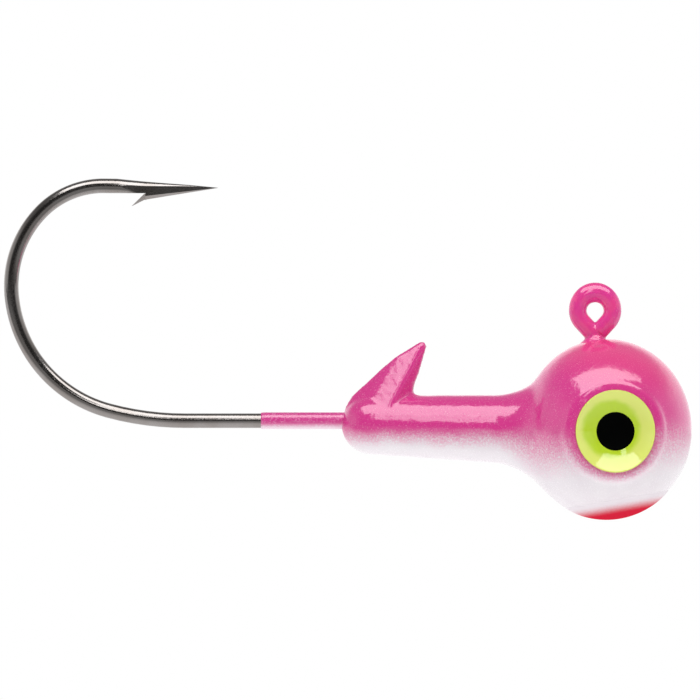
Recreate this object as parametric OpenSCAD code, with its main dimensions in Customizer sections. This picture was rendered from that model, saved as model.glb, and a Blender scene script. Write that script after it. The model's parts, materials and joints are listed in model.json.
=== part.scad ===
// Round ball-head fishing jig: a lead head with a keeper barb, cast on a wide-gap
// jig hook and painted. Origin: centre of the hole in the line tie. +X runs to the
// nose, +Z up to the tie, and the Y axis passes through the tie's hole. Millimetres.

/* [Wire] */
// Diameter of the bare hook wire
wire_d = 0.85; // [0.75:0.01:0.95]
// Mean radius of the ring of the line tie
tie_r = 1.0; // [0.95:0.01:1.1]
// Half angle at which the two sides of the tie close above its neck, degrees
tie_half_angle = 43; // [40:1:46]
// Radius of the bend between the tie and its leg
neck_bend_r = 0.8; // [0.7:0.05:0.9]
// Radius of the bend inside the head, from the leg to the shank
leg_bend_r = 1.3; // [1.0:0.1:2.0]

/* [Hook] */
// Height of the line tie above the shank
tie_height = 6.37; // [6.2:0.01:6.5]
// Distance from the line tie back to the start of the bend
bend_start = 23.66; // [22:0.02:26]
// Radii of the four arcs of the bend, from the shank to the point
bend_radii = [17, 7.6, 6.1, 5];
// Angle of each of those arcs, degrees
bend_angles = [15, 70, 49, 47];
// Distance from the end of the bend to the tip of the point
point_len = 6.53; // [6:0.01:7]
// Distance from the end of the bend to the root of the barb
barb_root = 2.33; // [2:0.01:2.6]
// How far the barb's tip stands back from its root
barb_len = 0.77; // [0.5:0.01:1]
// How far the barb's tip stands in from the axis of the wire
barb_rise = 1.14; // [0.9:0.01:1.2]

/* [Head] */
// Length of the ball along X
ball_l = 9.64; // [9:0.02:10.2]
// Height of the ball
ball_h = 10.24; // [9.8:0.02:10.8]
// Forward offset of the ball's centre from the line tie
ball_x = 0.65; // [0.5:0.01:0.8]
// Drop of the ball's centre below the line tie
ball_drop = 6.88; // [6.7:0.01:7]
// Radius of the collar at its tail
collar_tail_r = 1.62; // [1.5:0.01:1.7]
// Radius of the collar where it starts to flare into the ball
collar_front_r = 1.85; // [1.7:0.01:2]
// Length of the collar's straight part
collar_len = 6.84; // [6.8:0.01:7]
// Radius of the flare between the collar and the ball
flare_r = 4.11; // [4.1:0.01:4.2]
// Distance from the line tie back to the middle of the collar's rounded tail
collar_back = 12.9; // [12.8:0.01:13]
// Drop of the collar's axis below the line tie, at its tail
collar_drop = 6.62; // [6.5:0.01:6.7]
// Slope of the collar's axis, tail up, degrees
collar_slope = 1.94; // [1.5:0.01:2.2]

/* [Keeper] */
// Distance from the line tie back to the tip of the keeper barb
keeper_back = 10.02; // [9.8:0.01:10.2]
// Drop of the keeper's tip below the line tie
keeper_drop = 2.06; // [1.9:0.01:2.3]
// Half width of the keeper where it meets the collar
keeper_half_w = 1.2; // [1:0.05:1.3]

/* [Eyes] */
// Radius of the painted iris
iris_r = 2.33; // [2.2:0.01:2.5]
// Radius of the pupil
pupil_r = 1.12; // [1:0.01:1.2]
// Radius of the hollow that the eye is painted in
dish_r = 3.5; // [3.4:0.05:3.7]
// Distance from the ball's centre to the bottom of that hollow
dish_floor = 3.63; // [3.5:0.01:3.75]
// Radius of the raised rim around the eye
rim_r = 2.6; // [2.5:0.01:2.7]
// Angle at which each eye looks forward, degrees
eye_yaw = 6; // [4:1:8]

/* [Paint] */
// Thickness of the white base coat
base_t = 0.07; // [0.06:0.01:0.08]
// Thickness of the pink top coat
pink_t = 0.04; // [0.03:0.01:0.05]
// Thickness of the red patch, the irises and the pupils
dot_t = 0.03; // [0.02:0.01:0.04]
// Depth below the line tie at which the pink stops
pink_drop = 7.6; // [7.2:0.05:8]
// Distance from the line tie back to the end of the painted shank
paint_back = 19.28; // [18:0.02:20]
// Slope of the edge of the red patch, degrees
throat_slope = 10; // [8:1:14]
// Radius of the red patch
throat_r = 2.35; // [2:0.05:2.5]

/* [Hidden] */
$fn = 64;

wire_r = wire_d / 2;
coat_t = base_t;
// Distance from the tie's hole to where the centre lines of its two sides meet
neck_drop = tie_r / sin(tie_half_angle);
tie_side_len = neck_drop * cos(tie_half_angle);
neck_tangent = neck_bend_r * tan(tie_half_angle / 2);
full_pink = base_t + pink_t;
// Step of the curved outlines, degrees, and the angle that the flare turns through
step_angle = 5;
flare_angle = 50;
// Thin disc that joins one stretch of wire to the next, a hair larger than the wire
join_proud = 0.01;
join_len = 0.12;
// Length of the wire that shows its full size past the bend
point_taper_start = 0.7;
// Sizes of the wire at the root of the barb
root_r = 0.35;
root_offset = 0.03;
root_depth = 0.76;
edge_half_w = 0.08;
sharp_r = 0.02;
// Land that the line runs on, just inside the painted ring
bore_r = 0.55;
// Skirt of paint where the tie comes out of the ball
skirt_r = 1.15;
skirt_h = 0.8;
// Rim of the eye: radius of its bead, and how far it stands above the dish's floor
bead_r = 0.29;
bead_rise = 0.59;
// Drop of the eye's centre below the ball's
eye_drop = 0.1;
// Corners of the keeper: tip, brow, toe, heel, and the two on each side
keeper_corner_r = 0.13;
keeper_tip = [-keeper_back, 0, -keeper_drop];
keeper_brow = [-12.16, 0, -3.55];
keeper_toe = [-13.87, 0, -5.12];
keeper_heel = [-11.11, 0, -5.6];
keeper_side = [-11.9, keeper_half_w, -5.65];
keeper_cheek = [-13.2, 0.75 * keeper_half_w, -5.8];
// Length that reaches right across the object
far = 30;

// ---------------------------------------------------------------- the hook

// A straight piece of wire from the origin along +X.
module wire_straight(len, r) {
    rotate([0, 90, 0])
        cylinder(r = r, h = len);
}

// Joins the stretch of bare wire that ends at the origin to the next.
module wire_join() {
    rotate([0, 90, 0])
        cylinder(r = wire_r + join_proud, h = join_len, center = true);
}

// A bend that starts at the origin along +X and turns towards +Z. What follows it is
// drawn at its end.
module wire_bend(bend_r, angle, r) {
    translate([0, 0, bend_r])
        rotate([90, 0, 0])
            rotate([0, 0, -90])
                rotate_extrude(angle = angle)
                    translate([bend_r, 0])
                        circle(r = r);
    translate([bend_r * sin(angle), 0, bend_r * (1 - cos(angle))])
        rotate([0, -angle, 0])
            children();
}

// The ring of the tie and its two sides, which close on the leg.
module tie_ring(r) {
    rotate([90, 0, 0])
        rotate([0, 0, -tie_half_angle])
            rotate_extrude(angle = 180 + 2 * tie_half_angle)
                translate([tie_r, 0])
                    circle(r = r);
    // the free end, which stops against the leg
    rotate([0, tie_half_angle, 0])
        translate([tie_r, 0, 0])
            rotate([0, 90, 0])
                wire_straight(tie_side_len - neck_tangent, r);
    // the side that carries on down into the head
    rotate([0, -tie_half_angle, 0])
        translate([-tie_r, 0, 0])
            rotate([0, 90, 0]) {
                wire_straight(tie_side_len - neck_tangent, r);
                translate([tie_side_len - neck_tangent, 0, 0])
                    rotate([180, 0, 0])
                        wire_bend(neck_bend_r, tie_half_angle, r);
            }
}

// The leg, from the neck of the tie down to the bend inside the head.
module leg(r) {
    leg_top = neck_drop + neck_tangent;
    translate([0, 0, -leg_top])
        rotate([0, 90, 0])
            wire_straight(tie_height - leg_bend_r - leg_top, r);
}

// The bend inside the head, from the leg back towards the tail.
module leg_bend(r) {
    translate([0, 0, leg_bend_r - tie_height])
        rotate([0, 90, 0])
            rotate([180, 0, 0])
                wire_bend(leg_bend_r, 90, r)
                    children();
}

// The four arcs of the bend, one after the other, and then the point.
module bend_from(i) {
    wire_join();
    if (i < len(bend_radii))
        wire_bend(bend_radii[i], bend_angles[i], wire_r)
            bend_from(i + 1);
    else
        point();
}

// The point: a tapered wire, a ground spear and a barb on its inner side.
module point() {
    wire_straight(point_taper_start, wire_r);
    translate([point_taper_start, 0, 0])
        rotate([0, 90, 0])
            cylinder(r1 = wire_r, r2 = root_r, h = barb_root + root_offset - point_taper_start);
    hull() {
        translate([barb_root, 0, root_offset])
            wire_straight(root_offset, root_r, $fn = 32);
        translate([barb_root, -edge_half_w, root_depth - edge_half_w])
            cube([root_offset, 2 * edge_half_w, edge_half_w]);
        translate([point_len - sharp_r, 0, root_offset])
            sphere(r = sharp_r, $fn = 8);
    }
    hull() {
        translate([barb_root, -2 * edge_half_w, root_r])
            cube([root_r, 4 * edge_half_w, sharp_r]);
        translate([barb_root, -edge_half_w, root_depth - sharp_r])
            cube([root_offset, 2 * edge_half_w, sharp_r]);
        translate([barb_root - barb_len + sharp_r, 0, barb_rise - sharp_r])
            sphere(r = sharp_r, $fn = 8);
    }
}

module hook() {
    color("dimgray") {
        tie_ring(wire_r);
        leg(wire_r);
        for (height = [-neck_drop - neck_tangent, leg_bend_r - tie_height])
            translate([0, 0, height])
                rotate([0, 90, 0])
                    wire_join();
        leg_bend(wire_r) {
            wire_join();
            wire_straight(bend_start - leg_bend_r, wire_r);
            translate([bend_start - leg_bend_r, 0, 0])
                bend_from(0);
        }
    }
}

// ---------------------------------------------------------------- the head

// Outline of half the ball, radius against length.
function ball_outline(grow) = [
    for (a = [-90 : step_angle : 90])
        [(ball_h / 2 + grow) * cos(a), (ball_l / 2 + grow) * sin(a)]
];

// Outline of the collar, radius against distance from the middle of its tail.
function collar_outline(grow) = concat(
    [for (a = [-90 : 2 * step_angle : 0]) (collar_tail_r + grow) * [cos(a), sin(a)]],
    [for (a = [0 : step_angle : flare_angle])
        [
            collar_front_r + flare_r - (flare_r - grow) * cos(a),
            collar_len + (flare_r - grow) * sin(a)
        ]],
    [[0, collar_len + (flare_r - grow) * sin(flare_angle)]]
);

module ball(grow) {
    translate([ball_x, 0, -ball_drop])
        rotate([0, 90, 0])
            rotate_extrude()
                polygon(ball_outline(grow));
}

module collar(grow) {
    translate([-collar_back, 0, -collar_drop])
        rotate([0, 90 + collar_slope, 0])
            rotate_extrude()
                polygon(collar_outline(grow));
}

// A rounded corner of the keeper.
module keeper_corner(place, r) {
    translate(place)
        sphere(r = r, $fn = 12);
}

// The keeper: a barb that leans forward over the collar, with an upright back.
module keeper(grow) {
    r = keeper_corner_r + grow;
    hull() {
        keeper_corner(keeper_tip, r);
        keeper_corner(keeper_brow, r);
        keeper_corner(keeper_toe, r);
        keeper_corner(keeper_heel, r);
        for (side = [0, 1])
            mirror([0, side, 0]) {
                keeper_corner(keeper_side, r);
                keeper_corner(keeper_cheek, r);
            }
    }
}

// Puts its children on the axis of the right eye, with +Z outward, or mirrors them
// to the left eye.
module at_eye(left) {
    mirror([0, left ? 1 : 0, 0])
        translate([ball_x, 0, -ball_drop - eye_drop])
            rotate([0, 0, eye_yaw])
                rotate([90, 0, 0])
                    children();
}

module eye_rim(grow) {
    translate([0, 0, dish_floor + bead_rise])
        rotate_extrude()
            translate([rim_r, 0])
                circle(r = bead_r + grow, $fn = 32);
}

module dish(grow) {
    translate([0, 0, dish_floor + dish_r])
        sphere(r = dish_r - grow);
}

// The whole head, its surface moved out by grow.
module head_form(grow) {
    difference() {
        union() {
            ball(grow);
            collar(grow);
            keeper(grow);
            for (left = [false, true])
                at_eye(left)
                    eye_rim(grow);
        }
        for (left = [false, true])
            at_eye(left)
                dish(grow);
    }
}

// The channels that the hook leaves where it goes through the head's surface.
module wire_channels() {
    translate([0, 0, -tie_height])
        cylinder(r = wire_r, h = tie_height);
    translate([-bend_start, 0, -tie_height])
        wire_straight(bend_start, wire_r);
}

module lead_casting() {
    color("darkgray")
        difference() {
            head_form(0);
            leg(wire_r);
            leg_bend(wire_r)
                wire_straight(bend_start, wire_r);
        }
}

module base_coat() {
    color("white")
        difference() {
            head_form(base_t);
            head_form(0);
            wire_channels();
        }
}

module pink_coat() {
    color("deeppink")
        difference() {
            head_form(full_pink);
            head_form(base_t);
            wire_channels();
            for (left = [false, true])
                at_eye(left)
                    cylinder(r = iris_r, h = ball_l);
            translate([-far, -far / 2, -pink_drop - far])
                cube([2 * far, far, far]);
        }
}

module tie_coat() {
    color("deeppink")
        difference() {
            union() {
                tie_ring(wire_r + coat_t);
                translate([0, 0, -neck_drop - skirt_h])
                    cylinder(r1 = skirt_r, r2 = wire_r + coat_t, h = skirt_h);
            }
            tie_ring(wire_r);
            wire_channels();
            ball(full_pink);
            rotate([90, 0, 0])
                cylinder(r = bore_r, h = wire_d, center = true);
        }
}

module shank_coat() {
    color("hotpink")
        difference() {
            translate([-paint_back, 0, -tie_height])
                wire_straight(paint_back - collar_back - collar_tail_r / 2, wire_r + coat_t);
            wire_channels();
            collar(full_pink);
        }
}

module throat_patch() {
    color("crimson")
        intersection() {
            difference() {
                ball(base_t + dot_t);
                ball(base_t);
            }
            translate([ball_x, 0, -ball_drop])
                rotate([0, -throat_slope, 0])
                    translate([0, 0, -ball_h])
                        cylinder(r = throat_r, h = ball_h);
        }
}

// A round spot of paint in the hollow of the eye, between two depths.
module eye_paint(r, below, above) {
    intersection() {
        difference() {
            dish(below);
            dish(above);
        }
        cylinder(r = r, h = dish_floor + dish_r);
    }
}

module iris(left) {
    color("yellowgreen")
        at_eye(left)
            eye_paint(iris_r, base_t, base_t + dot_t);
}

module pupil(left) {
    color("black")
        at_eye(left)
            eye_paint(pupil_r, base_t + dot_t, base_t + 2 * dot_t);
}

module iris_left() {
    iris(true);
}

module iris_right() {
    iris(false);
}

module pupil_left() {
    pupil(true);
}

module pupil_right() {
    pupil(false);
}

hook();
lead_casting();
base_coat();
tie_coat();
shank_coat();
pink_coat();
throat_patch();
iris_left();
iris_right();
pupil_left();
pupil_right();
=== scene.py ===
import json
import math
import bpy
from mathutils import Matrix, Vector

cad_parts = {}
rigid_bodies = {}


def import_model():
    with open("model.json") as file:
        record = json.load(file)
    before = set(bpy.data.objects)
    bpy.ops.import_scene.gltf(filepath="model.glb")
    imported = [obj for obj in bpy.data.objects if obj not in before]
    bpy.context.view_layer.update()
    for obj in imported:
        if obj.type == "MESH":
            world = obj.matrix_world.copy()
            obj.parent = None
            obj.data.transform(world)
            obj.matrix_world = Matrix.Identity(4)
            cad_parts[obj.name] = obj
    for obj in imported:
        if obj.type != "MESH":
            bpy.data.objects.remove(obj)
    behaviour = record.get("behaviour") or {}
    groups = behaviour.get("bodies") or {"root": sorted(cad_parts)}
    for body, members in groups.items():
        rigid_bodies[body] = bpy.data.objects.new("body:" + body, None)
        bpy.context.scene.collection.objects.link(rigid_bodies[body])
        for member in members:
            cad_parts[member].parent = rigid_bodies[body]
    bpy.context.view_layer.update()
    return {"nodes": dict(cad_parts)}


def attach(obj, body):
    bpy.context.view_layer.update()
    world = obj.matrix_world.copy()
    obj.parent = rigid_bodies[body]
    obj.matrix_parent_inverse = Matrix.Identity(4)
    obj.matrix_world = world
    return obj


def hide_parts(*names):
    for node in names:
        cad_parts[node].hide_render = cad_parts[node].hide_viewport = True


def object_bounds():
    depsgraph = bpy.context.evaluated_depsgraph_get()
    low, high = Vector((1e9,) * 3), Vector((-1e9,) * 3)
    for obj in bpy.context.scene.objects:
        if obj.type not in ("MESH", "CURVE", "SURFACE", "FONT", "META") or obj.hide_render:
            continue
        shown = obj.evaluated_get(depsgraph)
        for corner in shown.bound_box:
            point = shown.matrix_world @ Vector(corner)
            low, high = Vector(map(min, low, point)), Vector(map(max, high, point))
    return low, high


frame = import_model()

# ---------------------------------------------------------------- hook
# One length of high-carbon wire, bent cold into the ring of the line tie, its leg, the
# shank and the wide bend. The point is ground and its barb sliced up from the underside,
# and then the hook is hardened and plated in dark nickel. The shapes are in millimetres.

WIRE_R = 0.425
WIRE_SIDES = 48
TIE_R = 1.0
TIE_OPEN = 43          # half angle at which the ring's two sides close, degrees
NECK_BEND_R = 0.8
LEG_BEND_R = 1.3
TIE_HEIGHT = 6.37      # from the shank's centre line up to the hole in the tie
SHANK_END = 23.66
BEND = ((17.0, 15), (7.6, 70), (6.1, 49), (5.0, 47))

neck_drop = TIE_R / math.sin(math.radians(TIE_OPEN))
neck_tangent = NECK_BEND_R * math.tan(math.radians(TIE_OPEN / 2))
tie_side = neck_drop * math.cos(math.radians(TIE_OPEN)) - neck_tangent
free_end = (
    TIE_R * math.cos(math.radians(TIE_OPEN)) - tie_side * math.sin(math.radians(TIE_OPEN)),
    -TIE_R * math.sin(math.radians(TIE_OPEN)) - tie_side * math.cos(math.radians(TIE_OPEN)),
)
tie_moves = [(tie_side,), (TIE_R, 180 + 2 * TIE_OPEN), (tie_side,), (NECK_BEND_R, -TIE_OPEN)]


def fresh():
    """Leaves edit mode with nothing selected, ready to pick points."""
    if bpy.context.mode != "OBJECT":
        bpy.ops.object.mode_set(mode="OBJECT")
    bpy.context.tool_settings.mesh_select_mode = (True, False, False)
    bpy.ops.object.select_all(action="DESELECT")


def take(piece):
    """Makes one piece the active and only selected one."""
    fresh()
    piece.select_set(True)
    bpy.context.view_layer.objects.active = piece


def bent_wire(name, radius, start, heading, moves):
    """Draws a round wire through the XZ plane and returns it with where it ends: (length,)
    runs straight on, and (radius, degrees) bends, to the left above zero."""
    fresh()
    x, z = start
    bpy.ops.mesh.primitive_circle_add(
        vertices=WIRE_SIDES, radius=radius, location=(x, 0, z),
        rotation=(0, math.radians(90 - heading), 0))
    bpy.ops.object.transform_apply()
    wire = bpy.context.object
    wire.name = name
    bpy.ops.object.mode_set(mode="EDIT")
    bpy.ops.mesh.select_all(action="SELECT")
    for move in moves:
        along = math.radians(heading)
        if len(move) == 1:
            step = Vector((math.cos(along), 0, math.sin(along))) * move[0]
            bpy.ops.mesh.extrude_region_move(TRANSFORM_OT_translate={"value": step})
            x, z = x + step.x, z + step.z
        else:
            bend_r, degrees = move
            side = math.copysign(1, degrees)
            hub_x = x - side * bend_r * math.sin(along)
            hub_z = z + side * bend_r * math.cos(along)
            bpy.ops.mesh.spin(
                steps=max(6, round(abs(degrees) / 2.5)), angle=math.radians(abs(degrees)),
                center=(hub_x, 0, hub_z), axis=(0, side, 0))
            heading += degrees
            x = hub_x + side * bend_r * math.sin(math.radians(heading))
            z = hub_z - side * bend_r * math.cos(math.radians(heading))
    bpy.ops.object.mode_set(mode="OBJECT")
    return wire, (x, z), heading


def close_up(piece):
    """Merges doubled points, caps open ends and turns every face outward."""
    take(piece)
    bpy.ops.object.mode_set(mode="EDIT")
    bpy.ops.mesh.select_all(action="SELECT")
    bpy.ops.mesh.remove_doubles(threshold=0.0005)
    bpy.ops.mesh.fill_holes(sides=0)
    bpy.ops.mesh.select_all(action="SELECT")
    bpy.ops.mesh.normals_make_consistent(inside=False)
    bpy.ops.object.mode_set(mode="OBJECT")
    return piece


def combine(piece, tool, operation):
    """Joins a tool to a piece, or cuts it away, and puts the tool away."""
    take(piece)
    bpy.ops.object.modifier_add(type="BOOLEAN")
    step = piece.modifiers[-1]
    step.operation = operation
    step.solver = "EXACT"
    step.object = tool
    bpy.ops.object.modifier_apply(modifier=step.name)
    bpy.data.objects.remove(tool)
    return piece


def to_metres(piece, name, material, edge_angle=None):
    """Takes a finished piece from millimetres to metres, smooths it and gives it its material."""
    take(piece)
    piece.name = piece.data.name = name
    piece.scale = (0.001, 0.001, 0.001)
    bpy.ops.object.transform_apply()
    if edge_angle:
        bpy.ops.object.shade_smooth_by_angle(angle=math.radians(edge_angle))
    else:
        bpy.ops.object.shade_smooth()
    piece.data.materials.clear()
    piece.data.materials.append(material)
    return piece


class Socket:
    """A shader value that Python arithmetic works on: each sum adds its Math node."""

    def __init__(self, paint, out):
        self.paint, self.out = paint, out

    def math(self, operation, *terms):
        return self.paint.node("ShaderNodeMath", {"operation": operation}, dict(enumerate(terms)))

    def __add__(self, other):
        return self.math("ADD", self, other)

    def __radd__(self, other):
        return self.math("ADD", other, self)

    def __sub__(self, other):
        return self.math("SUBTRACT", self, other)

    def __rsub__(self, other):
        return self.math("SUBTRACT", other, self)

    def __mul__(self, other):
        return self.math("MULTIPLY", self, other)

    def __rmul__(self, other):
        return self.math("MULTIPLY", other, self)

    def __truediv__(self, other):
        return self.math("DIVIDE", self, other)

    def __pow__(self, other):
        return self.math("POWER", self, other)

    def __abs__(self):
        return self.math("ABSOLUTE", self)


class Finish:
    """A material, and the one method that makes its nodes."""

    def __init__(self, name):
        self.material = bpy.data.materials.new(name)
        self.material.use_nodes = True
        self.tree = self.material.node_tree
        self.tree.nodes.clear()

    def node(self, kind, settings=None, sockets=None, output=0):
        """A node of a type, with its settings and then its sockets' values or links."""
        made = self.tree.nodes.new(kind)
        for key, value in (settings or {}).items():
            setattr(made, key, value)
        for key, value in (sockets or {}).items():
            if isinstance(value, Socket):
                self.tree.links.new(value.out, made.inputs[key])
            else:
                made.inputs[key].default_value = value
        return Socket(self, made.outputs[output]) if made.outputs else None

    def place(self, stretch=(1, 1, 1)):
        """Where a point is on the piece, in millimetres."""
        point = self.node("ShaderNodeTexCoord", output=3)
        return self.node("ShaderNodeMapping", {"vector_type": "POINT"},
                         {"Vector": point, "Scale": [1000 * s for s in stretch]})

    def axes(self, point):
        """A point's X, Y and Z."""
        split = self.node("ShaderNodeSeparateXYZ", {}, {0: point})
        return [Socket(self, out) for out in split.out.node.outputs]

    def grain(self, point, scale, detail=2, roughness=0.5):
        """Noise through the piece: scale is how many grains there are to a millimetre."""
        return self.node("ShaderNodeTexNoise", {"noise_dimensions": "3D"}, {
            "Vector": point, "Scale": scale, "Detail": detail, "Roughness": roughness})

    def ramp(self, value, low, high, smooth=True):
        """0 below low and 1 above high."""
        return self.node("ShaderNodeMapRange", {
            "interpolation_type": "SMOOTHSTEP" if smooth else "LINEAR", "clamp": True,
        }, {"Value": value, "From Min": low, "From Max": high})

    def blend(self, share, first, second):
        """Two colours mixed by a share of the second."""
        mix = self.node("ShaderNodeMix", {"data_type": "RGBA"})
        made = mix.out.node
        for index, value in ((0, share), (6, first), (7, second)):
            if isinstance(value, Socket):
                self.tree.links.new(value.out, made.inputs[index])
            else:
                made.inputs[index].default_value = value if index == 0 else (*value, 1)
        return Socket(self, made.outputs[2])

    def bump(self, height, strength, distance):
        """A normal roughened by a height; the distance is in metres."""
        return self.node("ShaderNodeBump", {}, {
            "Height": height, "Strength": strength, "Distance": distance})

    def coat(self, **sockets):
        """The surface itself, from the sockets of the shader by name."""
        shader = self.node("ShaderNodeBsdfPrincipled", {}, {
            key.replace("_", " "): value for key, value in sockets.items()})
        self.node("ShaderNodeOutputMaterial", {}, {"Surface": shader})
        return self.material


hook_wire, bend_start, heading = bent_wire(
    "hook_wire", WIRE_R, free_end, 90 - TIE_OPEN,
    tie_moves + [
        (TIE_HEIGHT - LEG_BEND_R - neck_drop - neck_tangent,),
        (LEG_BEND_R, -90),
        (SHANK_END - LEG_BEND_R,),
    ])
bend_wire, bend_end, heading = bent_wire(
    "bend_wire", WIRE_R, bend_start, heading, [(radius, -angle) for radius, angle in BEND])

# The spear: a blank forged deeper towards the barb's root, with a flat ground on each side
# and two below. Each ring is (distance on from the bend, top, bottom, half width), and each
# flat runs through three points of the left side.
SPEAR = (
    (0.70, 7.598, 6.748, 0.425),
    (1.30, 7.535, 6.700, 0.412),
    (2.33, 7.430, 6.376, 0.372),
    (3.60, 7.330, 6.585, 0.272),
    (4.90, 7.232, 6.795, 0.172),
    (5.90, 7.135, 6.950, 0.080),
    (6.53, 7.072, 7.025, 0.022),
)
FLATS = (
    ((-25.95, 0.318, 7.17), (-22.5, 0.062, 7.15), (-25.95, 0.305, 6.6)),
    ((-25.91, 0.300, 6.6), (-22.25, 0.040, 7.010), (-25.91, 0, 6.376)),
)
SLIT_TOP, SLIT_BLOCK = 6.757, 2
BARB_ROOT, BARB_MIDDLE = -25.95, 6.55
BARB_LONG, BARB_WIDE, BARB_HIGH = 0.12, 0.56, 0.36     # the barb's root, half of it let in
BARB_KEEL = 0.06                                       # width of its underside, as a share
BARB_TIP = (-26.73, 6.015)

spear, _, _ = bent_wire("spear", WIRE_R, bend_end, heading, [])
take(spear)
bpy.ops.object.mode_set(mode="EDIT")
bpy.ops.mesh.select_all(action="SELECT")
middle, half_high, half_wide, gone = bend_end[1], WIRE_R, WIRE_R, 0
for along, top, bottom, wide in SPEAR:
    bpy.ops.mesh.extrude_region_move(TRANSFORM_OT_translate={
        "value": (along - gone, 0, (top + bottom) / 2 - middle)})
    middle, high, gone = (top + bottom) / 2, (top - bottom) / 2, along
    bpy.ops.transform.resize(
        value=(1, wide / half_wide, high / half_high),
        center_override=(bend_end[0] + along, 0, middle))
    half_high, half_wide = high, wide
bpy.ops.object.mode_set(mode="OBJECT")
close_up(spear)


def flat_through(one, two, three):
    """A point of the flat through three points, and the flat's normal away from the axis."""
    one, two, three = Vector(one), Vector(two), Vector(three)
    normal = (two - one).cross(three - one).normalized()
    return one, normal if normal.y * one.y > 0 else -normal


for side in (-1, 1):
    for flat in FLATS:
        point, normal = flat_through(*[(x, y * side, z) for x, y, z in flat])
        take(spear)
        bpy.ops.object.mode_set(mode="EDIT")
        bpy.ops.mesh.select_all(action="SELECT")
        bpy.ops.mesh.bisect(plane_co=point, plane_no=normal, use_fill=True, clear_outer=True)
        bpy.ops.mesh.mark_sharp()
        bpy.ops.object.mode_set(mode="OBJECT")
close_up(spear)


def pick_faces(piece, wanted):
    """Enters edit mode with only the wanted faces selected."""
    take(piece)
    bpy.ops.object.mode_set(mode="EDIT")
    bpy.ops.mesh.select_mode(type="FACE")
    bpy.ops.mesh.select_all(action="DESELECT")
    bpy.ops.object.mode_set(mode="OBJECT")
    for face in piece.data.polygons:
        face.select = wanted(face)
    bpy.ops.object.mode_set(mode="EDIT")


# The slit below the wire, and the sliver of steel that it lifts.
fresh()
bpy.ops.mesh.primitive_cube_add(
    size=SLIT_BLOCK, location=(BARB_ROOT - SLIT_BLOCK / 2, 0, SLIT_TOP - SLIT_BLOCK / 2))
bpy.ops.object.transform_apply()
combine(spear, bpy.context.object, "DIFFERENCE")
fresh()
bpy.ops.mesh.primitive_cube_add(
    size=1, location=(BARB_ROOT, 0, BARB_MIDDLE), scale=(BARB_LONG, BARB_WIDE, BARB_HIGH))
bpy.ops.object.transform_apply()
barb = bpy.context.object
pick_faces(barb, lambda face: face.normal.z < -0.9)
bpy.ops.transform.resize(value=(1, BARB_KEEL, 1))
pick_faces(barb, lambda face: face.normal.x < -0.9)
bpy.ops.mesh.extrude_region_move(TRANSFORM_OT_translate={
    "value": (BARB_TIP[0] - BARB_ROOT + BARB_LONG / 2, 0, BARB_TIP[1] - BARB_MIDDLE)})
bpy.ops.transform.resize(value=(1, 0.1, 0.05), center_override=(BARB_TIP[0], 0, BARB_TIP[1]))
bpy.ops.object.mode_set(mode="OBJECT")
close_up(barb)

# The spear loses the cap at its root, and the wire's three stretches become one. The barb
# stays a closed sliver, let into the spear.
take(spear)
bpy.ops.object.mode_set(mode="EDIT")
bpy.ops.mesh.select_all(action="SELECT")
bpy.ops.mesh.quads_convert_to_tris()
bpy.ops.object.mode_set(mode="OBJECT")
pick_faces(spear, lambda face: face.normal.x < -0.9 and face.center.x < bend_end[0] + 0.01)
bpy.ops.mesh.delete(type="FACE")
bpy.ops.object.mode_set(mode="OBJECT")
take(hook_wire)
bend_wire.select_set(True)
spear.select_set(True)
bpy.ops.object.join()
hook = close_up(hook_wire)
barb.select_set(True)
bpy.ops.object.join()

steel = Finish("hook_steel")
point = steel.place()
cloud = steel.grain(point, 0.6, 3)
pits = steel.grain(point, 9, 2)
drawn = steel.grain(steel.place((0.6, 1, 1)), 14, 3)
hook_material = steel.coat(
    Base_Color=steel.blend(
        steel.ramp(cloud, 0.35, 0.65), (0.30, 0.275, 0.26), (0.345, 0.325, 0.315)),
    Metallic=1.0,
    Roughness=0.10 + 0.10 * steel.ramp(pits + cloud * 0.4, 0.5, 0.95),
    Normal=steel.bump(drawn, 0.12, 0.00002),
)
to_metres(hook, "hook_wire_bent", hook_material, edge_angle=30)
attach(hook, "root")
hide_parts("hook")

# ---------------------------------------------------------------- lead casting
# The head under its paint: lead alloy poured round the hook in a two-part mould. The metal
# is dull grey, with the mottled skin of a quick chill. It keeps the frame's own shape.

lead = Finish("lead")
point = lead.place()
chill = lead.grain(point, 1.6, 4, 0.6)
skin = lead.grain(point, 12, 3)
lead_material = lead.coat(
    Base_Color=lead.blend(lead.ramp(chill, 0.35, 0.7), (0.24, 0.25, 0.27), (0.42, 0.43, 0.45)),
    Metallic=0.85,
    Roughness=0.42 + 0.25 * skin,
    Normal=lead.bump(skin + chill, 0.4, 0.00005),
)
casting = frame["nodes"]["lead_casting"]
casting.data.materials.clear()
casting.data.materials.append(lead_material)

# ---------------------------------------------------------------- base coat
# White pearl powder paint baked over the whole casting, about 0.07 mm thick. It rounds the
# casting's edges and fills its corners. The head is one turned ball, a turned collar, the
# keeper barb and a raised rim round the hollow of each eye.

BASE_T = 0.07
BALL = (0.65, 0, -6.88)
BALL_LONG, BALL_HIGH = 4.82, 5.12
COLLAR_TAIL = (-12.9, 0, -6.62)
COLLAR_SLOPE = 1.94
COLLAR_TAIL_R, COLLAR_FRONT_R, COLLAR_LEN = 1.62, 1.85, 6.84
FLARE_R, FLARE_TURN = 4.11, 50
EYE_YAW = 6            # how far each eye looks forward, degrees
EYE_LOOK = Vector((math.sin(math.radians(EYE_YAW)), math.cos(math.radians(EYE_YAW)), 0))
EYE_CENTRE = (0.65, 0, -6.98)
RIM_R, RIM_RISE, BEAD_R = 2.6, 0.55, 0.29
RIM_PILE = 0.02        # the paint's extra depth over each rim
DISH_R, DISH_FLOOR = 3.5, 3.63
KEEPER_T = 0.03        # the paint over the keeper's corners, which it runs back from
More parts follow.
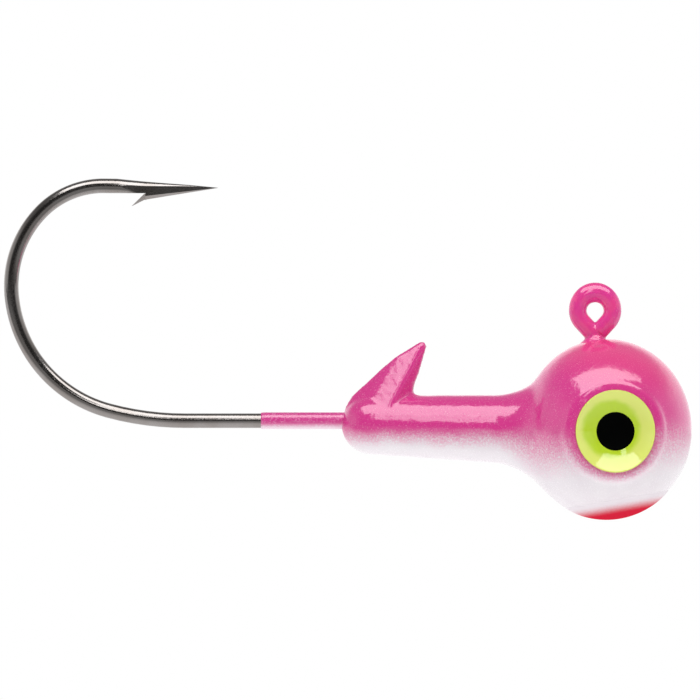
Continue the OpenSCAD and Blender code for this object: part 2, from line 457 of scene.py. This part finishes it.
# The keeper's rounded corners, as (where, radius): its tip, three down its rear edge, its
# heel, the tail of the collar, its root in front, and the foot of the crease and the cheek
# on each side.
KEEPER = (
    ((-9.99, 0, -2.06), 0.20), ((-10.62, 0, -2.43), 0.18), ((-11.36, 0, -2.86), 0.17),
    ((-12.16, 0, -3.53), 0.17), ((-13.87, 0, -5.12), 0.17), ((-14.24, 0, -5.72), 0.16),
    ((-10.97, 0, -5.6), 0.17),
    ((-11.9, 1.32, -5.65), 0.08), ((-11.9, -1.32, -5.65), 0.08),
    ((-13.2, 0.96, -5.8), 0.12), ((-13.2, -0.96, -5.8), 0.12),
)


def turned_body(name, outline, tilt, place, sides=128):
    """A closed body turned from an outline of (radius, height), pole to pole, then laid over."""
    fresh()
    bpy.ops.mesh.primitive_plane_add(size=0.1)
    body = bpy.context.object
    body.name = name
    bpy.ops.object.mode_set(mode="EDIT")
    bpy.ops.mesh.select_all(action="SELECT")
    bpy.ops.mesh.merge(type="CENTER")
    bpy.ops.transform.translate(value=(outline[0][0], 0, outline[0][1]))
    for (radius, height), (next_radius, next_height) in zip(outline, outline[1:]):
        bpy.ops.mesh.extrude_region_move(TRANSFORM_OT_translate={
            "value": (next_radius - radius, 0, next_height - height)})
    bpy.ops.mesh.select_all(action="SELECT")
    bpy.ops.mesh.spin(steps=sides, angle=2 * math.pi, center=(0, 0, 0), axis=(0, 0, 1))
    bpy.ops.object.mode_set(mode="OBJECT")
    body.rotation_euler = [math.radians(angle) for angle in tilt]
    body.location = place
    bpy.ops.object.transform_apply()
    return close_up(body)


def arc(count, start, end):
    """Evenly spaced angles, in radians."""
    return [math.radians(start + (end - start) * i / count) for i in range(count + 1)]


def ball_blank(grow):
    outline = [((BALL_HIGH + grow) * math.cos(a), (BALL_LONG + grow) * math.sin(a))
               for a in arc(64, -90, 90)]
    return turned_body("ball", outline, (0, 90, 0), BALL)


def collar_blank(grow):
    tail = [((COLLAR_TAIL_R + grow) * math.cos(a), (COLLAR_TAIL_R + grow) * math.sin(a))
            for a in arc(20, -90, 0)]
    flare = [(COLLAR_FRONT_R + FLARE_R - (FLARE_R - grow) * math.cos(a),
              COLLAR_LEN + (FLARE_R - grow) * math.sin(a)) for a in arc(20, 0, FLARE_TURN)]
    return turned_body("collar", tail + flare + [(0, flare[-1][1])],
                       (0, 90 + COLLAR_SLOPE, 0), COLLAR_TAIL)


def keeper_blank(grow):
    """The keeper: a skin stretched over a small ball at each of its corners."""
    fresh()
    for corner, radius in KEEPER:
        bpy.ops.mesh.primitive_uv_sphere_add(
            segments=32, ring_count=24, radius=radius + grow, location=corner)
        bpy.context.object.name = "keeper"
    for piece in bpy.context.scene.objects:
        piece.select_set(piece.name.startswith("keeper"))
    bpy.ops.object.join()
    keeper = bpy.context.object
    bpy.ops.object.transform_apply()
    bpy.ops.object.mode_set(mode="EDIT")
    bpy.ops.mesh.select_all(action="SELECT")
    bpy.ops.mesh.convex_hull()
    bpy.ops.object.mode_set(mode="OBJECT")
    return close_up(keeper)


def head_blank(grow):
    """The whole head as one closed body, its surface moved out by grow."""
    head = ball_blank(grow)
    combine(head, collar_blank(grow), "UNION")
    combine(head, keeper_blank(grow - BASE_T + KEEPER_T), "UNION")
    for side in (1, -1):
        eye = (math.radians(90 * side), 0, math.radians(EYE_YAW * side))
        look = Vector((EYE_LOOK.x, -side * EYE_LOOK.y, 0))
        centre = Vector(EYE_CENTRE)
        fresh()
        bpy.ops.mesh.primitive_torus_add(
            major_radius=RIM_R, minor_radius=BEAD_R + grow + RIM_PILE,
            major_segments=128, minor_segments=32,
            location=centre + look * (DISH_FLOOR + RIM_RISE), rotation=eye)
        bpy.ops.object.transform_apply()
        combine(head, bpy.context.object, "UNION")
        fresh()
        bpy.ops.mesh.primitive_uv_sphere_add(
            segments=128, ring_count=96, radius=DISH_R - grow,
            location=centre + look * (DISH_FLOOR + DISH_R), rotation=eye)
        bpy.ops.object.transform_apply()
        combine(head, bpy.context.object, "DIFFERENCE")
    return head


def brushed_over(piece, grain, passes, only=None):
    """Remeshes a piece into one even skin, then softens it as a coat of paint does."""
    take(piece)
    if grain:
        bpy.ops.object.modifier_add(type="REMESH")
        step = piece.modifiers[-1]
        step.mode = "VOXEL"
        step.voxel_size = grain
        bpy.ops.object.modifier_apply(modifier=step.name)
    bpy.ops.object.modifier_add(type="SMOOTH")
    step = piece.modifiers[-1]
    step.factor = 0.5
    step.iterations = passes
    if only:
        step.vertex_group = only
    bpy.ops.object.modifier_apply(modifier=step.name)
    return piece


def shade_in(piece, name, share):
    """A vertex group weighted by a function of each point's place."""
    group = piece.vertex_groups.new(name=name)
    for v in piece.data.vertices:
        weight = min(1, share(v.co))
        if weight > 0:
            group.add([v.index], weight, "REPLACE")
    return name


def from_eye(place):
    """How far a point is from the axis of the nearer eye."""
    x, y, z = place
    look = math.radians(EYE_YAW)
    along = (x - EYE_CENTRE[0]) * math.sin(look) + abs(y) * math.cos(look)
    flat = (x - EYE_CENTRE[0]) ** 2 + y * y + (z - EYE_CENTRE[2]) ** 2 - along ** 2
    return math.sqrt(max(0, flat)) if abs(y) > 2 else math.inf


# The paint flows together most in front of the keeper, over the rims and behind the ball.
SKIN_GRAIN = 0.111
KEEPER_ROOT, KEEPER_FLOW = Vector((-10.15, 0, -4.85)), 1.25
RIM_FLOW_FROM, RIM_FLOW_TO = 2.4, 3.5
COLLAR_ROOT, COLLAR_FLOW = -3.3, 1.4

skin = brushed_over(head_blank(BASE_T), SKIN_GRAIN, 5)
brushed_over(skin, None, 50, shade_in(
    skin, "keeper_root",
    lambda place: 2 * (1 - (place - KEEPER_ROOT).length / KEEPER_FLOW)))
brushed_over(skin, None, 20, shade_in(
    skin, "rims",
    lambda place: min(4 * (from_eye(place) - RIM_FLOW_FROM), 3 * (RIM_FLOW_TO - from_eye(place)))))
brushed_over(skin, None, 60, shade_in(
    skin, "collar_root",
    lambda place: 1.6 * (1 - abs(place.x - COLLAR_ROOT) / COLLAR_FLOW)))

# The spray: the height down to which it covers nearly all, a measure of how far below that
# it drifts on the slim collar and on the ball, where one gives way to the other, and the
# ring of it that gathers round each eye's mask.
SPRAY_HEIGHT = -6.84
COLLAR_REACH, BALL_REACH = 1.95, 5.15
COLLAR_END, BALL_START = -6.2, -3.0
MASK_R, MASK_SPREAD = 2.35, 3.15
MASK_STANDOFF = 4.4    # from the middle of the ball out to the mask


def sprayed(paint, point):
    """Share of pink over the pearl: a mist from above that thins out down the sides in fine
    droplets, and a heavier ring of it round the mask of each eye. Also the share of edge,
    where pink and pearl are mixed, and the two grains that speckle it."""
    x, y, z = paint.axes(point)
    on_ball = paint.ramp(x, COLLAR_END, BALL_START)
    reach = COLLAR_REACH + (BALL_REACH - COLLAR_REACH) * on_ball
    drift = paint.grain(point, 0.55, 2) - 0.5
    over_nose = paint.ramp(x, 1.5, 4.5)
    down = (z - SPRAY_HEIGHT + 0.7 * drift) / reach - 0.10 * over_nose
    mist = paint.ramp(down, -0.66, 0.12)
    # The ring round the eye is heavier below and behind it.
    across = (x - EYE_CENTRE[0]) - EYE_LOOK.x * MASK_STANDOFF
    rise = z - EYE_CENTRE[2]
    off_eye = (across * across + rise * rise) ** 0.5
    on_side = paint.ramp(abs(y), 2.0, 3.0)
    ring = (1 - paint.ramp(off_eye, MASK_R, MASK_SPREAD)) * on_side
    low_behind = paint.ramp(rise + across * 0.35, 1.5, -2.2)
    heavy = ring * (0.2 + 0.5 * low_behind)
    fine = paint.grain(point, 9.5, 3, 0.65)
    finer = paint.grain(point, 21, 1)
    droplets = (fine - 0.5) * 1.7 + (finer - 0.5) * 0.9
    both = mist + heavy - mist * heavy
    edge = both * (1 - both) * 4
    return paint.ramp(both + droplets * edge * 0.95, 0.02, 0.97, smooth=False), edge, fine, finer


def pearl(paint, point, finer):
    """The white's colour: a faint cool and warm cloud, with brighter flecks of mica."""
    cloud = paint.grain(point, 0.8, 2)
    white = paint.blend(paint.ramp(cloud, 0.3, 0.7), (0.83, 0.78, 0.82), (0.86, 0.82, 0.85))
    return paint.blend(paint.ramp(finer, 0.6, 0.8), white, (0.93, 0.91, 0.95))


white_paint = Finish("pearl_white")
point = white_paint.place()
fine = white_paint.grain(point, 9.5, 3, 0.65)
finer = white_paint.grain(point, 21, 1)
white_material = white_paint.coat(
    Base_Color=pearl(white_paint, point, finer),
    Roughness=0.04 + 0.30 * white_paint.ramp(finer + (fine - 0.5) * 0.8, 0.42, 0.80),
    IOR=1.85,
    Normal=white_paint.bump(white_paint.grain(point, 2, 4), 0.4, 0.00005),
)


def copy_of(piece, name, *cuts):
    """A copy of a skin, trimmed by cuts of (a point, the way that is cut off)."""
    take(piece)
    bpy.ops.object.duplicate()
    copy = bpy.context.object
    copy.name = name
    bpy.ops.object.mode_set(mode="EDIT")
    for point, way in cuts:
        bpy.ops.mesh.select_all(action="SELECT")
        bpy.ops.mesh.bisect(plane_co=point, plane_no=way, clear_outer=True)
    bpy.ops.object.mode_set(mode="OBJECT")
    return copy


FEATHER = 0.08         # what is left of a coat's thickness at its edge, as a share


def laid_on(piece, thick, share):
    """Gives an open skin its thickness, outward, thinned to a feather edge by share()."""
    group = shade_in(piece, "thickness", share)
    take(piece)
    bpy.ops.object.modifier_add(type="SOLIDIFY")
    step = piece.modifiers[-1]
    step.thickness = thick
    step.offset = 1
    step.vertex_group = group
    step.thickness_vertex_group = FEATHER
    bpy.ops.object.modifier_apply(modifier=step.name)
    return piece


# ---------------------------------------------------------------- pink coat
# Pink lacquer sprayed from above over the upper half, 0.04 mm thick. It thins out to a bare
# mist down the sides, and to the same in the hollow of each eye, which had a mask.

PINK_T = 0.04
UNDER_COLLAR, UNDER_BALL = -8.25, -10.35     # height of the last of the overspray
BELLY_CUT = ((0, 0, -10.4), (0, 0, -1))
COLLAR_CUT = ((-14.6, 0, -8.3), (-0.134, 0, -1))
MASKED_R = 2.45


def spray_edge(x):
    """Height of the last of the overspray at a place along the head."""
    share = min(1, max(0, (x - COLLAR_END) / (BALL_START - COLLAR_END)))
    return UNDER_COLLAR + (UNDER_BALL - UNDER_COLLAR) * share


pink_skin = copy_of(skin, "pink_skin", BELLY_CUT, COLLAR_CUT)
laid_on(pink_skin, PINK_T, lambda place: min(
    (place.z - spray_edge(place.x)) / 1.5, (from_eye(place) - MASKED_R) / 0.4))
pink_paint = Finish("pink_paint")
point = pink_paint.place()
pink_share, edge, fine, finer = sprayed(pink_paint, point)
x, y, z = pink_paint.axes(point)
# Painted light: the top and the nose are painted lighter and rosier, standing in for the pale
# sweep reflected there.
rosy_lit_top = pink_paint.ramp(z + x * 0.25, -5.0, -2.0)
pink = pink_paint.blend(rosy_lit_top, (0.74, 0.048, 0.285), (0.84, 0.062, 0.26))
flecks = pink_paint.ramp(fine + (finer - 0.5) * 0.6, 0.58, 0.85)
pale = 0.12 + 0.45 * edge + 0.34 * pink_paint.ramp(x, 0.5, -2.5) * (1 - rosy_lit_top)
pink = pink_paint.blend(flecks * pale, pink, (0.90, 0.50, 0.72))
pink_material = pink_paint.coat(
    Base_Color=pink_paint.blend(pink_share, pearl(pink_paint, point, finer), pink),
    Roughness=0.04 + 0.30 * pink_paint.ramp(finer + (fine - 0.5) * 0.8, 0.42, 0.80),
    IOR=1.85,
    Normal=pink_paint.bump(pink_paint.grain(point, 2, 4), 0.4, 0.00005),
)
to_metres(pink_skin, "pink_top_coat", pink_material, edge_angle=60)
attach(pink_skin, "root")
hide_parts("pink_coat")

# ---------------------------------------------------------------- throat patch
# A flash of red lacquer misted on under the chin, over the pearl, a little forward of the
# ball's lowest point. Its edge is soft, because no mask lies against the paint.

PATCH_TILT, PATCH_T = 10, 0.03
PATCH_HALF = 38        # half angle of the patch with its mist, seen from the ball's middle
patch_way = Vector((math.sin(math.radians(PATCH_TILT)), 0, -math.cos(math.radians(PATCH_TILT))))


def toward_patch(place):
    """Cosine of the angle between a point and the middle of the patch, from the ball's middle."""
    return (place - Vector(BALL)).normalized().dot(patch_way)


patch_edge = Vector(BALL) + patch_way * (BALL_HIGH + BASE_T) * math.cos(math.radians(PATCH_HALF))
red_skin = copy_of(skin, "red_skin", (patch_edge, -patch_way))
laid_on(red_skin, PATCH_T, lambda place: (toward_patch(place) - 0.8) / 0.1)
red_paint = Finish("red_paint")
point = red_paint.place()
x, y, z = red_paint.axes(point)
near = ((x - BALL[0]) * patch_way.x + (z - BALL[2]) * patch_way.z) / (BALL_HIGH + BASE_T)
fine = red_paint.grain(point, 9.5, 3, 0.65)
finer = red_paint.grain(point, 21, 1)
mist = red_paint.ramp(near + (fine - 0.5) * 0.035, 0.815, 0.942)
red = red_paint.blend(red_paint.ramp(finer, 0.5, 0.8), (0.68, 0.022, 0.055), (0.74, 0.045, 0.085))
red_material = red_paint.coat(
    Base_Color=red_paint.blend(mist, pearl(red_paint, point, finer), red),
    Roughness=0.15 + 0.12 * fine,
    Specular_IOR_Level=0.0,
    Normal=red_paint.bump(red_paint.grain(point, 2, 4), 0.4, 0.00005),
)
to_metres(red_skin, "throat_flash", red_material, edge_angle=60)
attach(red_skin, "root")
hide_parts("throat_patch")

# The base coat itself is finished last, once the two coats over it have been taken from it.
to_metres(skin, "pearl_coat", white_material)
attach(skin, "root")
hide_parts("base_coat")

# ---------------------------------------------------------------- line tie
# Pink paint over the ring of the tie. It runs into the crease where the ring's two sides
# meet, and flows out in a small skirt where the leg leaves the ball.

TIE_COAT_R = 0.52
TIE_TOP_T = 0.09       # the paint's extra depth over the top of the ring
TIE_GRAIN = 0.04
SKIRT = (              # (radius, height)
    (0, -2.4), (1.3, -2.4), (0.98, -1.98), (0.76, -1.80),
    (0.62, -1.66), (0.56, -1.50), (0.4, -1.42), (0, -1.42),
)

tie, _, _ = bent_wire("tie", TIE_COAT_R, free_end, 90 - TIE_OPEN, tie_moves + [(0.5,)])
close_up(tie)
skirt = turned_body("skirt", SKIRT, (0, 0, 0), (0, 0, 0), 64)
take(tie)
skirt.select_set(True)
bpy.ops.object.join()
brushed_over(tie, TIE_GRAIN, 1)
combine(tie, ball_blank(BASE_T - 0.05), "DIFFERENCE")
brushed_over(tie, TIE_GRAIN, 7)
for v in tie.data.vertices:
    if v.co.z > 0:
        outer = (math.hypot(v.co.x, v.co.z) - TIE_R) / TIE_COAT_R
        v.co.z += TIE_TOP_T * outer * v.co.z / (TIE_R + TIE_COAT_R)

gloss = Finish("tie_pink")
point = gloss.place()
cloud = gloss.grain(point, 1.4, 2)
mica = gloss.grain(point, 16, 2)
pink = gloss.blend(gloss.ramp(cloud, 0.35, 0.65), (0.79, 0.050, 0.31), (0.87, 0.065, 0.29))
pink = gloss.blend(0.35 * gloss.ramp(mica, 0.62, 0.8), pink, (0.88, 0.42, 0.66))
tie_material = gloss.coat(
    Base_Color=pink,
    Roughness=0.05 + 0.15 * mica,
    IOR=1.8,
    Normal=gloss.bump(gloss.grain(point, 2, 2), 0.2, 0.00005),
)
to_metres(tie, "tie_paint", tie_material)
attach(tie, "root")
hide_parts("tie_coat")

# ---------------------------------------------------------------- shank
# The same paint on the first stretch of the shank, where the hook was held clear of the
# dip. It ends in a crisp edge, and thins to white along its underside.

SHANK_COAT_R = 0.485
PAINT_BACK, PAINT_LIP = 19.28, 0.45
# Its crisp lip, its even length, and where it swells into the collar: (length, radius after).
SHANK_STEPS = (
    (0.03, SHANK_COAT_R - 0.01), (0.06, SHANK_COAT_R), (4.7, SHANK_COAT_R),
    (0.8, SHANK_COAT_R + 0.12),
)

shank, _, _ = bent_wire("shank", PAINT_LIP, (-PAINT_BACK, -TIE_HEIGHT), 0, [])
take(shank)
bpy.ops.object.mode_set(mode="EDIT")
bpy.ops.mesh.select_all(action="SELECT")
radius_before = PAINT_LIP
for along, radius_now in SHANK_STEPS:
    swell = radius_now / radius_before
    bpy.ops.mesh.extrude_region_move(TRANSFORM_OT_translate={"value": (along, 0, 0)})
    bpy.ops.transform.resize(value=(1, swell, swell), center_override=(0, 0, -TIE_HEIGHT))
    radius_before = radius_now
bpy.ops.object.mode_set(mode="OBJECT")
close_up(shank)
shank_paint = Finish("shank_paint")
point = shank_paint.place()
x, y, z = shank_paint.axes(point)
fine = shank_paint.grain(point, 9, 3)
low = shank_paint.ramp(z + TIE_HEIGHT + (fine - 0.5) * 0.25, -0.12, -0.42)
pink = shank_paint.blend(
    shank_paint.ramp(fine, 0.45, 0.75), (0.72, 0.05, 0.29), (0.82, 0.22, 0.46))
shank_material = shank_paint.coat(
    Base_Color=shank_paint.blend(low, pink, (0.86, 0.66, 0.76)),
    Roughness=0.16 + 0.08 * fine,
    IOR=1.9,
    Normal=shank_paint.bump(fine, 0.3, 0.00004),
)
to_metres(shank, "shank_paint", shank_material, edge_angle=40)
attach(shank, "root")
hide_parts("shank_coat")

# ---------------------------------------------------------------- irises
# A spot of chartreuse enamel in the hollow of each eye, put on with a round pad. Its colour holds
# painted shade and painted light:
# greener and darker in the middle, set a little up and back, and lighter and yellower in an outer
# band, where the hollow's sloping wall catches the light.

IRIS_WIDE, IRIS_HIGH = 2.30, 2.39
IRIS_T = 0.035
SUNK = 0.01            # how far a spot reaches into the paint below it
IRIS_SLIP = 1          # how far the pad slipped forward, degrees
iris_finish = Finish("iris_paint")
point = iris_finish.place()
x, y, z = iris_finish.axes(point)
across = x - EYE_CENTRE[0] - EYE_LOOK.x * 3.8 + 0.12
rise = z - EYE_CENTRE[2] - 0.14
from_shaded_middle = (across * across + rise * rise) ** 0.5
soft = iris_finish.grain(point, 1.6, 2)
# Painted shade and light: the middle is painted greener as shade in the hollow, the outer band
# lighter and yellower as light on its sloping wall.
outer = iris_finish.ramp(from_shaded_middle + (soft - 0.5) * 0.25, 1.45, 1.85)
iris_material = iris_finish.coat(
    Base_Color=iris_finish.blend(outer, (0.57, 0.79, 0.03), (0.82, 0.90, 0.19)),
    Roughness=0.05 + 0.05 * soft,
    IOR=1.7,
    Normal=iris_finish.bump(iris_finish.grain(point, 1.3, 2), 0.25, 0.00006),
)


def eye_spot(name, radius, below, above, stretch, slip, side):
    """A thin round spot in the hollow of the eye, slipped forward by some degrees."""
    tilt = (90 * side, 0, (EYE_YAW - slip) * side)
    look = Vector((EYE_LOOK.x, -side * EYE_LOOK.y, 0))
    top_r, low_r = DISH_R - above, DISH_R - below
    rim_r = top_r + 0.3 * (low_r - top_r)
    reach = math.degrees(math.asin(radius / low_r))
    rim_reach = math.radians(reach * 0.99)
    upper = [(top_r * math.sin(a), -top_r * math.cos(a)) for a in arc(24, 0, reach * 0.97)]
    rim = [(rim_r * math.sin(rim_reach), -rim_r * math.cos(rim_reach))]
    lower = [(low_r * math.sin(a), -low_r * math.cos(a)) for a in arc(24, reach, 0)]
    spot = turned_body(name, upper + rim + lower, tilt,
                       Vector(EYE_CENTRE) + look * (DISH_FLOOR + DISH_R))
    take(spot)
    bpy.ops.object.mode_set(mode="EDIT")
    bpy.ops.mesh.select_all(action="SELECT")
    bpy.ops.transform.resize(value=(stretch[0], 1, stretch[1]),
                             center_override=Vector(EYE_CENTRE) + look * DISH_FLOOR)
    bpy.ops.object.mode_set(mode="OBJECT")
    return spot


for side, hand in ((1, "right"), (-1, "left")):
    iris = eye_spot(f"iris_{hand}_enamel", IRIS_HIGH, BASE_T - SUNK, BASE_T + IRIS_T,
                    (IRIS_WIDE / IRIS_HIGH, 1), IRIS_SLIP, side)
    to_metres(iris, f"iris_{hand}_enamel", iris_material)
    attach(iris, "root")
    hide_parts(f"iris_{hand}")

# ---------------------------------------------------------------- pupils
# A smaller spot of black enamel in the middle of each iris, put on with a round pad over the
# chartreuse. It dries dead flat, with next to no gloss.

PUPIL_R = 1.12
PUPIL_SLIP = 2.1
ink = Finish("black_paint")
point = ink.place()
speck = ink.grain(point, 6, 2)
pupil_material = ink.coat(
    Base_Color=ink.blend(speck, (0.0004, 0.0006, 0.0006), (0.0010, 0.0012, 0.0012)),
    Roughness=0.5 + 0.1 * speck,
    Specular_IOR_Level=0.02,
)
for side, hand in ((1, "right"), (-1, "left")):
    pupil = eye_spot(f"pupil_{hand}_ink", PUPIL_R, BASE_T + IRIS_T - SUNK, BASE_T + 2 * IRIS_T,
                     (1, 1), PUPIL_SLIP, side)
    to_metres(pupil, f"pupil_{hand}_ink", pupil_material)
    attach(pupil, "root")
    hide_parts(f"pupil_{hand}")

# ---------------------------------------------------------------- studio
# A long softbox overhead and towards the viewer, a white sweep behind, and a lit table of
# opal glass under the ball. Reflections alone see the table's near part dimmed, as if a dark
# card lay there. The camera looks at the right side, square on.

TABLE_WIDE, TABLE_MIDDLE = 1.6, -0.014

lowest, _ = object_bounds()
fresh()
bpy.ops.mesh.primitive_plane_add(size=TABLE_WIDE, location=(TABLE_MIDDLE, 0, lowest.z))
bpy.ops.object.transform_apply()
floor = bpy.context.object
floor.name = "studio_floor"
opal = Finish("opal_table")
point = opal.place()
x, y, z = opal.axes(point)
mirrored = opal.node("ShaderNodeLightPath", output=3)
near = opal.ramp(y, 1.0, -18.0)
floor.data.materials.append(opal.coat(
    Base_Color=opal.blend(opal.grain(point, 0.05, 2), (0.29, 0.29, 0.29), (0.31, 0.31, 0.31)),
    Roughness=0.9,
    Specular_IOR_Level=0.1,
    Emission_Color=opal.blend(mirrored * near, (1.0, 0.99, 1.0), (0.03, 0.03, 0.03)),
    Emission_Strength=0.82,
))

LIGHT_RADIANCE = 3.0


def light_panel(name, place, tilt, size):
    """A rectangular light, tilted back by some degrees from facing straight down."""
    fresh()
    bpy.ops.object.light_add(type="AREA", location=place, rotation=(math.radians(tilt), 0, 0))
    panel = bpy.context.object
    panel.name = name
    panel.data.shape = "RECTANGLE"
    panel.data.size, panel.data.size_y = size
    panel.data.energy = LIGHT_RADIANCE * math.pi * panel.data.size * panel.data.size_y


light_panel("softbox", (0.0, -0.051, 0.090), 0, (0.150, 0.083))
# A lower strip of light, out in front of the keeper.
light_panel("strip_light", (-0.013, -0.083, 0.049), 56, (0.014, 0.046))

world = bpy.data.worlds.new("studio_world")
bpy.context.scene.world = world
world.use_nodes = True
world.node_tree.nodes.clear()


class Sweep(Finish):
    """The white sweep round the studio, with the same way of making nodes."""

    def __init__(self, tree):
        self.tree = tree


sweep = Sweep(world.node_tree)
direction = sweep.node("ShaderNodeTexCoord", output=0)
wx, wy, wz = sweep.axes(direction)
behind = sweep.ramp(wy, 0.1, 0.7) * (1 - 0.85 * sweep.ramp(wz, 0.3, 0.65))
beside = sweep.ramp(abs(wx), 0.7, 1.0) * (1 - behind)
room = 0.045 + 0.14 * sweep.ramp(wy, -0.9, -0.3)
light = room + behind * 1.05 + beside * 0.5
seen = sweep.node("ShaderNodeLightPath", output=0)
strength = seen + (1 - seen) * light
lit = sweep.node("ShaderNodeBackground", {}, {"Color": (1, 1, 1, 1), "Strength": strength})
sweep.node("ShaderNodeOutputWorld", {}, {"Surface": lit})

CAMERA_PLACE = (-0.014142, -0.2, -0.002291)
CAMERA_SPAN = 0.04039      # width of what it sees

fresh()
bpy.ops.object.camera_add(location=CAMERA_PLACE, rotation=(math.radians(90), 0, 0))
camera = bpy.context.object
camera.data.type = "ORTHO"
camera.data.ortho_scale = CAMERA_SPAN
camera.data.clip_start, camera.data.clip_end = 0.001, 5
bpy.context.scene.camera = camera
bpy.context.scene.view_settings.view_transform = "Standard"
